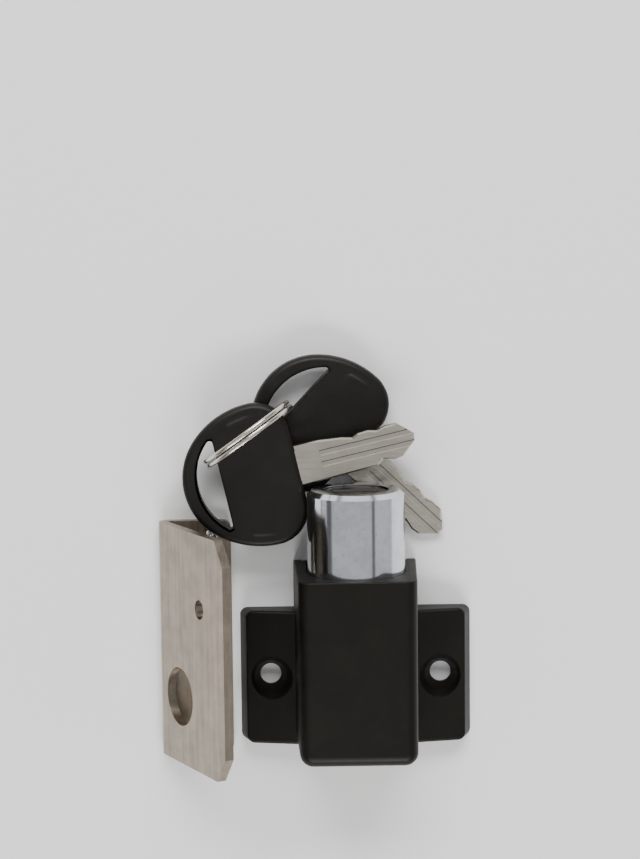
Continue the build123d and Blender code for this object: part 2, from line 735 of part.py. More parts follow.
def strike_plate():
    """Folded strike: a foot lies flat, and the leaning leg above it has the holes and clipped corners."""
    lean = math.radians(strike_lean)
    along = Vector(math.cos(lean), 0, math.sin(lean))
    normal = Vector(-math.sin(lean), 0, math.cos(lean))
    tip = along * strike_width
    inner_tip = tip - normal * strike_thickness
    inside = strike_thickness / math.tan(lean / 2)
    points = [(0, 0), (strike_foot_width, 0), (strike_foot_width, strike_thickness), (inside, strike_thickness),
              (inner_tip.X, inner_tip.Z), (tip.X, tip.Z)]
    section = make_face(Polyline(*points, close=True))
    section = fillet(section.vertices().sort_by_distance((0, 0, 0))[0], strike_bend_radius)
    section = fillet(section.vertices().sort_by_distance((inside, strike_thickness, 0))[0],
                     strike_bend_radius - strike_thickness)
    plate = extrude(Plane.XZ * section, amount=-strike_length)
    leg = Plane(origin=(0, 0, 0), x_dir=along, z_dir=normal)
    clip = make_face(Polyline((0, 0), (-strike_clip_width, 0), (0, strike_clip_length), close=True))
    far_clip = mirror(clip, Plane.XZ)
    cuts = [Pos(strike_width, 0) * clip, Pos(strike_width, strike_length) * far_clip,
            Pos(strike_bolt_hole_across, strike_bolt_hole_along) * Circle(strike_bolt_hole_diameter / 2),
            Pos(strike_screw_hole_across, strike_screw_hole_along) * Circle(strike_screw_hole_diameter / 2)]
    for cut in cuts:
        plate -= extrude(leg * cut, amount=2 * strike_thickness, both=True)
    ends = plate.edges().filter_by(Axis.Z).filter_by(lambda edge: edge.center().X > strike_foot_width - overrun / 2
                                                     and edge.center().Z < strike_thickness)
    plate = fillet(ends, strike_corner_radius)
    return Pos(strike_x, strike_y, 0) * plate


def fixing_screw():
    """Countersunk screw standing on its head, point up, with a cross slot."""
    head, shank, tip = screw_head_diameter / 2, screw_diameter / 2, screw_tip_diameter / 2
    rim = screw_head_height / 8
    profile = [(0, 0), (head, 0), (head, rim), (shank, screw_head_height),
               (shank, screw_length - screw_tip_length), (tip, screw_length), (0, screw_length)]
    screw = revolve(Plane.XZ * make_face(Polyline(*profile, close=True)), Axis.Z)
    return driven(screw, cross_slot_length, cross_slot_width, cross_slot_depth)


def fixing_screws():
    """Three screws in a row on the strike's foot, each resting on its head's rim and its shank."""
    slope = math.atan((screw_head_diameter - screw_diameter) / 2 / (screw_length - screw_tip_length))
    height = strike_thickness + screw_lift + screw_head_diameter / 2 * math.cos(slope)
    screw = Rot(0, 0, 180) * Rot(90 + math.degrees(slope), 0, 0) * fixing_screw()
    step = screw_length + screw_row_gap
    return [Pos(screw_row_x, screw_row_y - step * index, height) * screw for index in range(screw_count)]


def write(name, solids):
    """Write one node, which may be a group of separate solids."""
    pieces = solids if isinstance(solids, list) else [solids]
    flat = [solid for piece in pieces for solid in piece.solids()]
    node = Compound(children=flat) if len(flat) > 1 else flat[0]
    export_step(node, "parts/" + name + ".step")
    print(name, len(flat), "solid(s)")


write("housing", housing())
write("back_cover", back_cover())
write("cover_screws", cover_screws())
write("guide_screw", guide_screw())
write("bolt_bush", bolt_bush())
write("barrel", barrel())
write("plug", plug())
write("plug_wafers", plug_wafers())
write("wafer_springs", wafer_springs())
write("plug_clip", plug_clip())
write("plug_disc", plug_disc())
write("locking_dog", locking_dog())
write("dog_spring", dog_spring())
write("bolt", bolt())
write("bolt_pin", bolt_pin())
write("return_spring", return_spring())
write("spring_washer", spring_washer())
write("key_blade_front", front_key_place() * key_blade())
write("key_head_front", front_key_place() * key_head())
write("key_blade_rear", rear_key_place() * key_blade())
write("key_head_rear", rear_key_place() * key_head())
write("key_ring", key_ring())
write("strike_plate", strike_plate())
write("fixing_screws", fixing_screws())
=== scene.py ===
"""Looks of a sliding patio door lock: plating, cast paint, moulded heads, ring, spring and screws."""

from collections import namedtuple

import bpy
import numpy as np
from mathutils import Matrix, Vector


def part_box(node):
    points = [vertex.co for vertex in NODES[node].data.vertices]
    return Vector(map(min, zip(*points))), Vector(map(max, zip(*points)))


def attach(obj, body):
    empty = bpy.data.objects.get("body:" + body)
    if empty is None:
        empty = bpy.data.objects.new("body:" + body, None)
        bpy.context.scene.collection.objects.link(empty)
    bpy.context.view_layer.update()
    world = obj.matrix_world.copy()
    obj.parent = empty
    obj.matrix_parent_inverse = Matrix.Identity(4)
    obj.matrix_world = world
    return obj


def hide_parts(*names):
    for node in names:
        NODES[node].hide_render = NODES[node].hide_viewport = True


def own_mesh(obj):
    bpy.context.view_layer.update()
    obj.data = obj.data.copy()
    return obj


# Lengths are in millimetres and angles in degrees, unless a comment says otherwise.
MM = 0.001

# Camera, fitted to the lock's own edges and holes; the clip distances are in metres
CAMERA_PLACE = (-12.95, 114.77, 495.63)
CAMERA_BACK = (-0.01273, 0.13132, 0.99126)
CAMERA_RIGHT = (0.99983, -0.01131, 0.01434)
CAMERA_LENS = 141.72
SENSOR_WIDTH = 36.0
NEAR_CLIP = 0.01
FAR_CLIP = 20.0

# Floor and surroundings: half side and depth below the parts in metres
FLOOR_HALF = 1.5
FLOOR_DEPTH = 0.00005
WORLD_COLOUR = (0.95, 0.97, 1.0, 1)
WORLD_STRENGTH = 0.16

# Lights: place, the point that each faces and width by height in metres, then power in watts
LOCK_MIDDLE = (0, 0.02, 0.01)
LIGHTS = {
    "overhead_sheet": ((-0.37, -0.05, 0.75), (-0.37, -0.05, 0.0), (1.82, 0.9), 2.6),
    "right_sheet": ((0.745, 0.0, 0.33), LOCK_MIDDLE, (0.7, 0.9), 1.1),
    "left_strip": ((-0.79, 0.03, 0.14), LOCK_MIDDLE, (0.2, 0.9), 0.35),
    "far_box": ((0.0, 0.85, 0.75), LOCK_MIDDLE, (0.9, 0.4), 14),
    "near_box": ((0.0, -0.85, 0.7), LOCK_MIDDLE, (0.9, 0.3), 12),
    "far_strip": ((0.0, 0.95, 0.15), LOCK_MIDDLE, (1.2, 0.16), 0.8),
}

# Height of the barrel's axis
AXIS_HEIGHT = 13.2

# Keys: place of the blade's shoulder, heading on the floor and slope
Key = namedtuple("Key", "place heading slope")
FRONT_KEY = Key((-11.0, 43.1, 7.7), 13.0, 0.0)
REAR_KEY = Key((0.021, 44.553, 2.5643), -43.9, 3.7)

# Key head's outline: shares of its half height, or of its length and half height
HEAD_LENGTH = 23.0
HEAD_HALF_HEIGHT = 14.19
HEAD_SIDE = 0.58
HEAD_SHOULDER = (-0.304, 1.0)
HEAD_WAIST = (-0.826, 0.66)

# Key head's skin: the rim fades between two distances from the blade, and what lies lower than the sink
# limit under the faces doesn't sink with the panel
HEAD_HALF_THICKNESS = 1.7
HEAD_EDGE_RADIUS = 1.1
HEAD_RIM_WIDTH = 2.0
HEAD_RIM_STEP = 0.9
HEAD_RIM_FADE = (4.5, 10.0)
HEAD_PANEL_DEPTH = 0.2
HEAD_SINK_LIMIT = 0.3

# Rays that carry the head's rows of points: their start behind the opening's straight side, the least angle
# between two in radians, and the least squareness with which one may meet an outline
RAY_START = 2.1
RAY_GAP = 0.004
RAY_LEAST_LEAN = 0.45

# Opening for the ring, from its straight side to the thin rim at the head's end
OPENING_START = 15.2
OPENING_ARC_RADIUS = 12.0
OPENING_RIM_WIDTH = 2.9
OPENING_TIP_RADIUS = 0.6
OPENING_EDGE_RADIUS = 0.4

# Key blade: half its thickness, and the milled grooves across its width
BLADE_HALF = 1.0
GROOVE_MIDDLES = (-0.75, 1.5)
GROOVE_WIDTH = 1.15

# Split ring: its coils, the stretch in which the wire cranks over, then its place; the lead is in radians
RING_RADIUS = 9.775
RING_WIRE = 0.88
RING_SQUARENESS = 2.6
RING_PITCH = 1.04
RING_SPAN = 690.0
RING_CRANK = 24.0
RING_CRANK_LEAD = 0.06
RING_CENTRE = (-20.699, 49.779, 10.306)
RING_TURN = 35.7
RING_ENDS = 250.0
RING_LEAN = -4.6

# Return spring: closed turns at each end and the turns over which the coils open
SPRING_RADIUS = 6.4
SPRING_WIRE = 0.9
SPRING_TURNS = 6.5
SPRING_CLOSED_TURNS = 0.8
SPRING_OPENING_TURNS = 0.4

# A swept wire's size over the last two steps at each end, as a share of its full size
WIRE_END_SIZES = (0.72, 0.93)

# Fixing screws: head, neck, core and thread, whose tooth is a share of its pitch to each side
SCREW_HEAD_RADIUS = 3.8
SCREW_HEAD_HEIGHT = 2.9
SCREW_HEAD_RIM = 0.36
SCREW_HEAD_ROUND = 0.1
SCREW_HEAD_DOME = 0.22
SCREW_FLARE = 0.35
SCREW_NECK = 3.3
SCREW_LENGTH = 13.0
SCREW_TIP_LENGTH = 3.2
SCREW_TIP_POINT = 0.05
SCREW_CORE_RADIUS = 1.35
SCREW_THREAD_DEPTH = 0.6
SCREW_THREAD_PITCH = 1.5
SCREW_TOOTH_SHARE = 0.27

# Cross recess: half width and reach of a bar, and how far its sides and ends slope
RECESS_DEPTH = 1.2
RECESS_HALF_WIDTH = 0.72
RECESS_SIDE_SLOPE = 0.36
RECESS_REACH = 2.2
RECESS_END_SLOPE = 0.6

# The row of screws under the strike
SCREW_ROW_X = -28.4
SCREW_ROW_Y = 19.0
SCREW_STEP = 14.4
SCREW_COUNT = 3
SCREW_SLOPE = 9.63
SCREW_HEIGHT = 5.797
SCREW_FIRST_SPIN = 12.0
SCREW_NEXT_SPIN = 31.0

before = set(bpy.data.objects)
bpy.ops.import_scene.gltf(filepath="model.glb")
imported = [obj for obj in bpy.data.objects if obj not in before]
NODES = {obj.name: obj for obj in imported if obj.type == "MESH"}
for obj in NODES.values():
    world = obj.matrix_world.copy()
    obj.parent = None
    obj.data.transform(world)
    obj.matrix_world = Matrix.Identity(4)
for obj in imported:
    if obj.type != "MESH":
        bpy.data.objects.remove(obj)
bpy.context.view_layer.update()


# Meshes


def rotation(axis, degrees):
    """Right-handed turn about X, Y or Z as a 3 by 3 array."""
    angle = np.radians(degrees)
    c, s = np.cos(angle), np.sin(angle)
    a, b = {"X": (1, 2), "Y": (2, 0), "Z": (0, 1)}[axis]
    turn = np.eye(3)
    turn[a, a] = turn[b, b] = c
    turn[a, b], turn[b, a] = -s, s
    return turn


def key_turn(key):
    """Turn of a key: its slope first, then its heading."""
    return rotation("Z", key.heading) @ rotation("Y", key.slope)


def smooth(share):
    """Soft step: 3 s^2 - 2 s^3 between 0 and 1."""
    s = np.clip(share, 0, 1)
    return s * s * (3 - 2 * s)


def placed(points, place, turn):
    """Points turned, then moved: p' = R p + t."""
    return points @ np.asarray(turn).T + np.asarray(place, float)


def put(thing, name, matrix=None):
    """Object of a mesh, light or camera in the scene, at a 4 by 4 place where one is given."""
    made = bpy.data.objects.new(name, thing)
    bpy.context.scene.collection.objects.link(made)
    if matrix is not None:
        made.matrix_world = Matrix(matrix.tolist())
    return made


def add_mesh(name, parts, material, body, node, smooth_angle=35.0):
    """One object from a list of (points, arrays of faces); it rides on a body and stands for a node."""
    points, faces, start = [], [], 0
    for part_points, part_faces in parts:
        points.append(part_points * MM)
        faces += [corners + start for corners in part_faces]
        start += len(part_points)
    points = np.concatenate(points)
    faces.sort(key=lambda corners: -corners.shape[1])
    loops = np.concatenate([corners.ravel() for corners in faces])
    sizes = np.concatenate([np.full(len(corners), corners.shape[1]) for corners in faces])
    mesh = bpy.data.meshes.new(name)
    mesh.vertices.add(len(points))
    mesh.vertices.foreach_set("co", points.astype(np.float32).ravel())
    mesh.loops.add(len(loops))
    mesh.loops.foreach_set("vertex_index", loops.astype(np.int32))
    mesh.polygons.add(len(sizes))
    mesh.polygons.foreach_set("loop_start", (np.cumsum(sizes) - sizes).astype(np.int32))
    mesh.polygons.foreach_set("loop_total", sizes.astype(np.int32))
    mesh.update(calc_edges=True)
    mesh.validate()
    mesh.shade_smooth()
    mesh.set_sharp_from_angle(angle=np.radians(smooth_angle))
    mesh.materials.append(material)
    piece = put(mesh, name)
    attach(piece, body)
    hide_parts(node)
    return piece


def grid_faces(rows, columns, closed_rows=False):
    """Quads between rows of points: each row is a closed ring, and closed rows join last to first."""
    i = np.arange(rows if closed_rows else rows - 1)
    i, j = np.meshgrid(i, np.arange(columns), indexing="ij")
    here, below = i * columns, (i + 1) % rows * columns
    after = (j + 1) % columns
    return np.stack([here + j, here + after, below + after, below + j], -1).reshape(-1, 4)


def fan_faces(centre, ring_start, count, flip=False):
    """Triangles from one point to a closed ring of points."""
    j = np.arange(count)
    tris = np.stack([np.full(count, centre), ring_start + j, ring_start + (j + 1) % count], -1)
    return tris[:, ::-1] if flip else tris


def closed_tube(rings, first, last):
    """Skin over rings of points that go the same way round, closed by a point at each end."""
    count, around = rings.shape[:2]
    total = count * around
    points = np.concatenate([rings.reshape(-1, 3), [first, last]])
    first_cap = fan_faces(total, 0, around, flip=True)
    last_cap = fan_faces(total + 1, total - around, around)
    return points, [grid_faces(count, around), first_cap, last_cap]


# Key heads


def tangent_arc(start, end, tangent, count=40):
    """Arc that leaves its start along a tangent t, with its points and the tangent at its end.

    With d from start to end and n to the left of t, the radius is |d|^2 / (2 d . n)."""
    start, end, tangent = np.array(start), np.array(end), np.array(tangent)
    reach = end - start
    left = np.array([-tangent[1], tangent[0]])
    radius = reach @ reach / (2 * (reach @ left))
    centre = start + radius * left
    sweep = 2 * np.arctan2(tangent[0] * reach[1] - tangent[1] * reach[0], tangent @ reach)
    angle = np.arctan2(*(start - centre)[::-1]) + np.linspace(0, sweep, count)
    points = centre + abs(radius) * np.stack([np.cos(angle), np.sin(angle)], -1)
    return points, tangent * np.cos(sweep) + left * np.sin(sweep)


def straight_side(x, reach, count):
    """Points between the two ends of a straight side at x that reaches as far up as down."""
    y = np.linspace(-reach, reach, count)[1:-1]
    return np.stack([np.full_like(y, x), y], -1)


def head_outline():
    """Straight side by the blade, then three arcs tangent to each other on each half of the head."""
    size = np.array([HEAD_LENGTH, HEAD_HALF_HEIGHT])
    waist, shoulder, corner = size * HEAD_WAIST, size * HEAD_SHOULDER, size * (0, HEAD_SIDE)
    end, tangent = tangent_arc((-HEAD_LENGTH, 0.0), waist, (0.0, 1.0))
    top, tangent = tangent_arc(waist, shoulder, tangent)
    last, tangent = tangent_arc(shoulder, corner, tangent)
    upper = np.concatenate([end, top[1:], last[1:]])
    return np.concatenate([upper, upper[1:] * (1, -1), straight_side(0.0, corner[1], 30)])


def head_opening():
    """Circle cut by a straight line; arcs that touch the line and the circle round its two corners."""
    radius, corner = OPENING_ARC_RADIUS, OPENING_TIP_RADIUS
    middle = OPENING_RIM_WIDTH + radius - HEAD_LENGTH
    corner_x = -OPENING_START - corner
    corner_y = np.sqrt((radius - corner) ** 2 - (corner_x - middle) ** 2)
    touch = np.arctan2(corner_y, corner_x - middle)
    wide = np.linspace(touch, 2 * np.pi - touch, 160)
    small = np.linspace(0, touch, 26)[:-1]
    arc = np.stack([middle + radius * np.cos(wide), radius * np.sin(wide)], -1)
    tip = np.stack([corner_x + corner * np.cos(small), corner_y + corner * np.sin(small)], -1)
    return np.concatenate([arc, tip, tip * (1, -1), straight_side(-OPENING_START, corner_y, 32)])


def polar(outline, centre, angles):
    """Radius of a closed outline round a centre at each angle, and how squarely it meets the ray there."""
    x, y = (outline - centre).T
    angle = np.arctan2(y, x)
    order = np.argsort(angle)
    angle = np.concatenate([angle[order] + turn for turn in (-2 * np.pi, 0, 2 * np.pi)])
    radius = np.tile(np.hypot(x, y)[order], 3)
    near = 0.01
    before, found, after = (np.interp(angles + shift, angle, radius) for shift in (-near, 0, near))
    lean = found / np.hypot(found, (after - before) / (2 * near))
    return found, np.maximum(lean, RAY_LEAST_LEAN)


def key_head():
    """Moulded head as one closed skin round its opening.

    Rays from the opening's middle cut the outline and the opening. Rows of points run from the middle of the
    outer wall, z = 0, over the rounded edge d = r (1 - cos u), z = h - r + r sin u, along the raised rim and
    down its step to a panel that sinks softly. Then they go over the opening's edge and down its wall. The
    lower face mirrors the upper one."""
    half, edge, hole_edge = HEAD_HALF_THICKNESS, HEAD_EDGE_RADIUS, OPENING_EDGE_RADIUS
    outline, opening = head_outline(), head_opening()
    centre = np.array([-OPENING_START - RAY_START, 0.0])
    corners = np.concatenate([outline, opening]) - centre
    angles = np.unique(np.arctan2(corners[:, 1], corners[:, 0]))
    angles = angles[np.concatenate([[True], np.diff(angles) > RAY_GAP])]
    outer, outer_lean = polar(outline, centre, angles)
    inner, inner_lean = polar(opening, centre, angles)

    u = np.linspace(0, np.pi / 2, 8)
    down_step = HEAD_RIM_WIDTH + HEAD_RIM_STEP * np.array([0.25, 0.5, 0.75, 1.0])
    outer_d = np.concatenate([[0.0], edge * (1 - np.cos(u)),
                              [0.5 * (edge + HEAD_RIM_WIDTH), HEAD_RIM_WIDTH], down_step])
    outer_z = np.concatenate([[0.0], half - edge + edge * np.sin(u), [half] * 6])
    outer_rows = outer - outer_d[:, None] / outer_lean

    u = u[::-1]
    inner_d = hole_edge * (1 - np.cos(u))
    inner_z = half - hole_edge + hole_edge * np.sin(u)
    inner_rows = inner + inner_d[:, None] / inner_lean

    share = np.linspace(0, 1, 12)[1:-1, None]
    panel_start = outer - (HEAD_RIM_WIDTH + HEAD_RIM_STEP) / outer_lean
    panel_rows = panel_start * (1 - share) + (inner + hole_edge / inner_lean) * share

    rows = np.maximum(np.concatenate([outer_rows, panel_rows, inner_rows]), inner)
    rays = np.stack([np.cos(angles), np.sin(angles)], -1)
    flat = centre + rows[..., None] * rays
    z = np.concatenate([outer_z, [half] * len(share), inner_z])
    fall = np.ones(len(z))
    fall[:len(outer_d)] = smooth((outer_d - HEAD_RIM_WIDTH) / HEAD_RIM_STEP)
    fall[z <= half - HEAD_SINK_LIMIT] = 0
    from_opening = smooth((flat[..., 0] + OPENING_START - OPENING_RIM_WIDTH) / HEAD_RIM_STEP)
    from_blade = smooth((-flat[..., 0] - HEAD_RIM_FADE[0]) / (HEAD_RIM_FADE[1] - HEAD_RIM_FADE[0]))
    z = z[:, None] - HEAD_PANEL_DEPTH * fall[:, None] * from_opening * from_blade

    top = np.concatenate([flat, z[..., None]], -1)
    wall = top[-1:] * (1, 1, 0)
    loop = np.concatenate([top, wall, top[:0:-1] * (1, 1, -1)])
    return loop.reshape(-1, 3), [grid_faces(len(loop), len(angles), closed_rows=True)]


# Screws


def fixing_screw():
    """Countersunk screw along Z from its head's face at z = 0.

    Shank: r(z, a) = core(z) + depth(z) * ridge(frac(z / p - a / 2 pi)), where ridge is a sharp tooth and
    both core and depth shrink towards the point. Face: z = recess(x, y) - dome(r), a cross with sloped sides
    and ends on a low dome."""
    around, steps_a_turn = 96, 14
    a = np.linspace(0, 2 * np.pi, around, endpoint=False)
    cone_z = np.linspace(SCREW_HEAD_RIM, SCREW_HEAD_HEIGHT, 8)[1:]
    thread_z = np.arange(SCREW_NECK, SCREW_LENGTH, SCREW_THREAD_PITCH / steps_a_turn)
    z = np.concatenate([[SCREW_HEAD_RIM * 0.5, SCREW_HEAD_RIM], cone_z, thread_z, [SCREW_LENGTH]])
    cone = np.interp(z, [0, SCREW_HEAD_RIM, SCREW_HEAD_HEIGHT, SCREW_NECK],
                     [SCREW_HEAD_RADIUS - SCREW_HEAD_ROUND, SCREW_HEAD_RADIUS,
                      SCREW_CORE_RADIUS + SCREW_FLARE, SCREW_CORE_RADIUS])
    point = np.clip((SCREW_LENGTH - z) / SCREW_TIP_LENGTH, 0, 1)
    core = np.where(z > SCREW_NECK, SCREW_CORE_RADIUS * point ** 0.8, cone)
    start = np.clip((z - SCREW_NECK) / SCREW_THREAD_PITCH, 0, 1)
    depth = SCREW_THREAD_DEPTH * start * np.sqrt(point)
    turn = np.mod(z[:, None] / SCREW_THREAD_PITCH - a / (2 * np.pi), 1.0)
    ridge = np.clip(1 - np.abs(turn - 0.5) / SCREW_TOOTH_SHARE, 0, 1)
    radius = core[:, None] + depth[:, None] * ridge
    side = np.stack([radius * np.cos(a), radius * np.sin(a), np.repeat(z[:, None], around, 1)], -1)

    recess_reach = np.linspace(0.1, 2.5, 36)
    face_reach = np.linspace(2.8, SCREW_HEAD_RADIUS - 0.25, 4)
    reach = np.concatenate([recess_reach, face_reach])[:, None]
    x, y = reach * np.cos(a), reach * np.sin(a)
    bars = [smooth((RECESS_HALF_WIDTH - np.abs(across)) / RECESS_SIDE_SLOPE)
            * smooth((RECESS_REACH - np.abs(along)) / RECESS_END_SLOPE)
            for along, across in ((x, y), (y, x))]
    dome = SCREW_HEAD_DOME * (1 - (reach / SCREW_HEAD_RADIUS) ** 2)
    face = np.stack([x, y, RECESS_DEPTH * np.maximum(*bars) - dome], -1)
    recess_middle = [0, 0, RECESS_DEPTH - SCREW_HEAD_DOME]
    tip = [0, 0, SCREW_LENGTH + SCREW_TIP_POINT]
    return closed_tube(np.concatenate([face, side]), recess_middle, tip)


def screw_row():
    """Screws lying one behind the other, each tipped by its head's flare."""
    turn = rotation("Z", 180) @ rotation("X", 90 + SCREW_SLOPE)
    parts = []
    for index in range(SCREW_COUNT):
        place = (SCREW_ROW_X, SCREW_ROW_Y - SCREW_STEP * index, SCREW_HEIGHT)
        spin = rotation("Z", SCREW_NEXT_SPIN * index + SCREW_FIRST_SPIN)
        points, faces = fixing_screw()
        parts.append((placed(placed(points, (0, 0, 0), spin), place, turn), faces))
    return parts


# Split ring and return spring


def wound_wire(centre, axis_turn, place, wire, squareness, around):
    """Wire swept along a coil round Z: section 0.5 w (cos v, sin v) in the frame of outward and across.

    A superellipse pulls the section towards its corners, and the ends shrink over their last steps."""
    steps = len(centre)
    tangent = np.gradient(centre, axis=0)
    tangent /= np.linalg.norm(tangent, axis=1, keepdims=True)
    outward = centre * (1, 1, 0)
    outward /= np.linalg.norm(outward, axis=1, keepdims=True)
    across = np.cross(tangent, outward)
    v = np.linspace(0, 2 * np.pi, around, endpoint=False)
    waves = np.array([np.cos(v), np.sin(v)])
    cos_v, sin_v = np.sign(waves) * np.abs(waves) ** (2 / squareness)
    size = np.full(steps, wire / 2)
    size[:2] *= WIRE_END_SIZES
    size[-2:] *= WIRE_END_SIZES[::-1]
    section = cos_v[None, :, None] * outward[:, None] + sin_v[None, :, None] * across[:, None]
    points, faces = closed_tube(centre[:, None] + size[:, None, None] * section, centre[0], centre[-1])
    return [(placed(points, place, axis_turn), faces)]


def wound_ring():
    """Two coils side by side, (R cos t, R sin t, c(t)).

    c(t) steps softly from -p / 2 to p / 2 where the first coil cranks over to the second, by both ends."""
    t = np.radians(np.linspace(0, RING_SPAN, 400))
    crank = np.radians(RING_CRANK)
    rise = RING_PITCH * (smooth((t - 2 * np.pi + crank + RING_CRANK_LEAD) / crank) - 0.5)
    centre = np.stack([RING_RADIUS * np.cos(t), RING_RADIUS * np.sin(t), rise], -1)
    turn = rotation("Z", RING_TURN) @ rotation("X", 90 + RING_LEAN) @ rotation("Z", RING_ENDS)
    return wound_wire(centre, turn, RING_CENTRE, RING_WIRE, RING_SQUARENESS, 20)


def return_spring(low, high):
    """Compression spring along Y, (R cos t, R sin t, c(t)).

    c climbs one wire a turn in the closed end coils and faster between them, to fill low to high."""
    turns = np.linspace(0, SPRING_TURNS, 520)
    from_start = smooth((turns - SPRING_CLOSED_TURNS) / SPRING_OPENING_TURNS)
    from_end = smooth((SPRING_TURNS - SPRING_CLOSED_TURNS - turns) / SPRING_OPENING_TURNS)
    open_share = from_start * from_end
    rise = high - low - SPRING_WIRE
    rate = SPRING_WIRE + open_share * (rise / SPRING_TURNS - SPRING_WIRE) / open_share.mean()
    climb = np.concatenate([[0], np.cumsum(0.5 * (rate[1:] + rate[:-1]) * np.diff(turns))])
    t = 2 * np.pi * turns
    climb *= rise / climb[-1]
    centre = np.stack([SPRING_RADIUS * np.cos(t), SPRING_RADIUS * np.sin(t), climb], -1)
    place = (0, low + SPRING_WIRE / 2, AXIS_HEIGHT)
    return wound_wire(centre, rotation("X", -90), place, SPRING_WIRE, 2.0, 14)


# Materials


class Value:
    """A number, colour or vector socket with operators: an expression on values adds Math nodes."""

    def __init__(self, shader, socket):
        self.shader, self.socket = shader, socket

    def math(self, operation, *inputs):
        return self.shader.node("ShaderNodeMath", {"operation": operation}, inputs)

    def __add__(self, other):
        return self.math("ADD", self, other)

    def __sub__(self, other):
        return self.math("SUBTRACT", self, other)

    def __rsub__(self, other):
        return self.math("SUBTRACT", other, self)

    def __mul__(self, other):
        return self.math("MULTIPLY", self, other)

    __radd__, __rmul__ = __add__, __mul__

    def absolute(self):
        return self.math("ABSOLUTE", self)

    def step(self, low, high):
        """Smooth step from 0 at low to 1 at high."""
        return self.shader.node("ShaderNodeMapRange", {"interpolation_type": "SMOOTHSTEP"},
                                {"Value": self, "From Min": low, "From Max": high})


class Shader:
    """A material under construction: one Principled surface and the nodes that feed it."""

    def __init__(self, name, base, roughness, metallic=0.0, **constants):
        self.material = bpy.data.materials.new(name)
        self.material.use_nodes = True
        self.tree = self.material.node_tree
        self.surface = self.tree.nodes["Principled BSDF"]
        self.surface.inputs["Base Color"].default_value = (*base, 1)
        self.surface.inputs["Roughness"].default_value = roughness
        self.surface.inputs["Metallic"].default_value = metallic
        for socket, value in constants.items():
            self.surface.inputs[socket.replace("_", " ")].default_value = value
        self.material.diffuse_color = (*base, 1)

    def node(self, kind, settings, inputs, output=0):
        """Any node: settings are set first, then each input gets a value or a link."""
        made = self.tree.nodes.new(kind)
        for key, value in settings.items():
            setattr(made, key, value)
        pairs = inputs.items() if isinstance(inputs, dict) else enumerate(inputs)
        for key, value in pairs:
            if isinstance(value, Value):
                self.tree.links.new(value.socket, made.inputs[key])
            else:
                made.inputs[key].default_value = value
        return Value(self, made.outputs[output])

    def place(self, scale=(1, 1, 1), turn=(0, 0, 0)):
        """Object coordinates, turned and scaled to a count per millimetre."""
        raw = self.node("ShaderNodeTexCoord", {}, {}, "Object")
        return self.node("ShaderNodeMapping", {}, {"Vector": raw, "Rotation": np.radians(turn),
                                                   "Scale": [s / MM for s in scale]})

    def along(self, key, axis):
        """Millimetres from a key's shoulder along one axis of the key's own frame."""
        raw = self.node("ShaderNodeTexCoord", {}, {}, "Object")
        shoulder = [length * MM for length in key.place]
        away = self.node("ShaderNodeVectorMath", {"operation": "SUBTRACT"}, [raw, shoulder])
        line = key_turn(key) @ axis / MM
        return self.node("ShaderNodeVectorMath", {"operation": "DOT_PRODUCT"}, [away, line], "Value")

    def noise(self, place, scale=1.0, detail=3.0, rough=0.55, distortion=0.0):
        return self.node("ShaderNodeTexNoise", {}, {"Vector": place, "Scale": scale, "Detail": detail,
                                                    "Roughness": rough, "Distortion": distortion}, "Fac")

    def cells(self, place, scale):
        return self.node("ShaderNodeTexVoronoi", {}, {"Vector": place, "Scale": scale}, "Distance")

    def mix(self, factor, a, b):
        """Colour a to colour b by a factor."""
        a, b = (colour if isinstance(colour, Value) else (*colour, 1) for colour in (a, b))
        return self.node("ShaderNodeMix", {"data_type": "RGBA"}, {0: factor, 6: a, 7: b}, 2)

    def feed(self, **links):
        """Link values to the surface's sockets."""
        for socket, value in links.items():
            self.tree.links.new(value.socket, self.surface.inputs[socket.replace("_", " ")])

    def bump(self, height, depth, strength):
        """Normals from a height of so many millimetres."""
        self.feed(Normal=self.node("ShaderNodeBump", {}, {"Strength": strength, "Distance": depth * MM,
                                                          "Height": height}))


def tinted(colour, factor):
    """A colour made lighter or darker, each channel at most 1."""
    return tuple(min(1.0, factor * channel) for channel in colour)


def cast_paint(name, base, dark, pale, roughness):
    """Satin black over a zinc casting: orange peel, a sandy grain and faint rubbed patches."""
    s = Shader(name, base, roughness, Specular_IOR_Level=0.21, Specular_Tint=(1, 0.94, 0.86, 1))
    place = s.place()
    peel = s.noise(place, 1.1, 2.0)
    grain = s.noise(place, 7.0, 3.0, 0.65)
    patch = s.noise(place, 0.16, 4.0, 0.6, 0.6)
    rub = s.noise(s.place((0.25, 2.2, 0.4), (0, 0, 8)), 1.0, 4.0).step(0.6, 0.78)
    s.feed(Base_Color=s.mix(patch.step(0.35, 0.75), dark, pale),
           Roughness=roughness + grain * 0.12 + patch * 0.1 - rub * 0.05)
    s.bump(peel * 0.6 + grain * 0.4, 0.05, 0.55)
    return s.material


def bright_plate(name, base, roughness, streaks, depth):
    """Bright plating over turned metal: fine rings, scuffs and a soft cloud."""
    s = Shader(name, base, roughness, 1.0)
    lines = s.noise(s.place(streaks), 1.0, 4.0, 0.6)
    cloud = s.noise(s.place(), 0.35, 3.0)
    scuff = s.noise(s.place((1.5, 0.8, 1.5), (0, 0, 24)), 1.0, 5.0, 0.7).step(0.59, 0.69)
    s.feed(Roughness=roughness * 0.7 + lines * (roughness * 0.5) + scuff * 0.08 + cloud * 0.03,
           Base_Color=s.mix(cloud.step(0.35, 0.65) * 0.3 + scuff * 0.6, base, tinted(base, 0.6)))
    s.bump(lines, depth, 0.5)
    return s.material


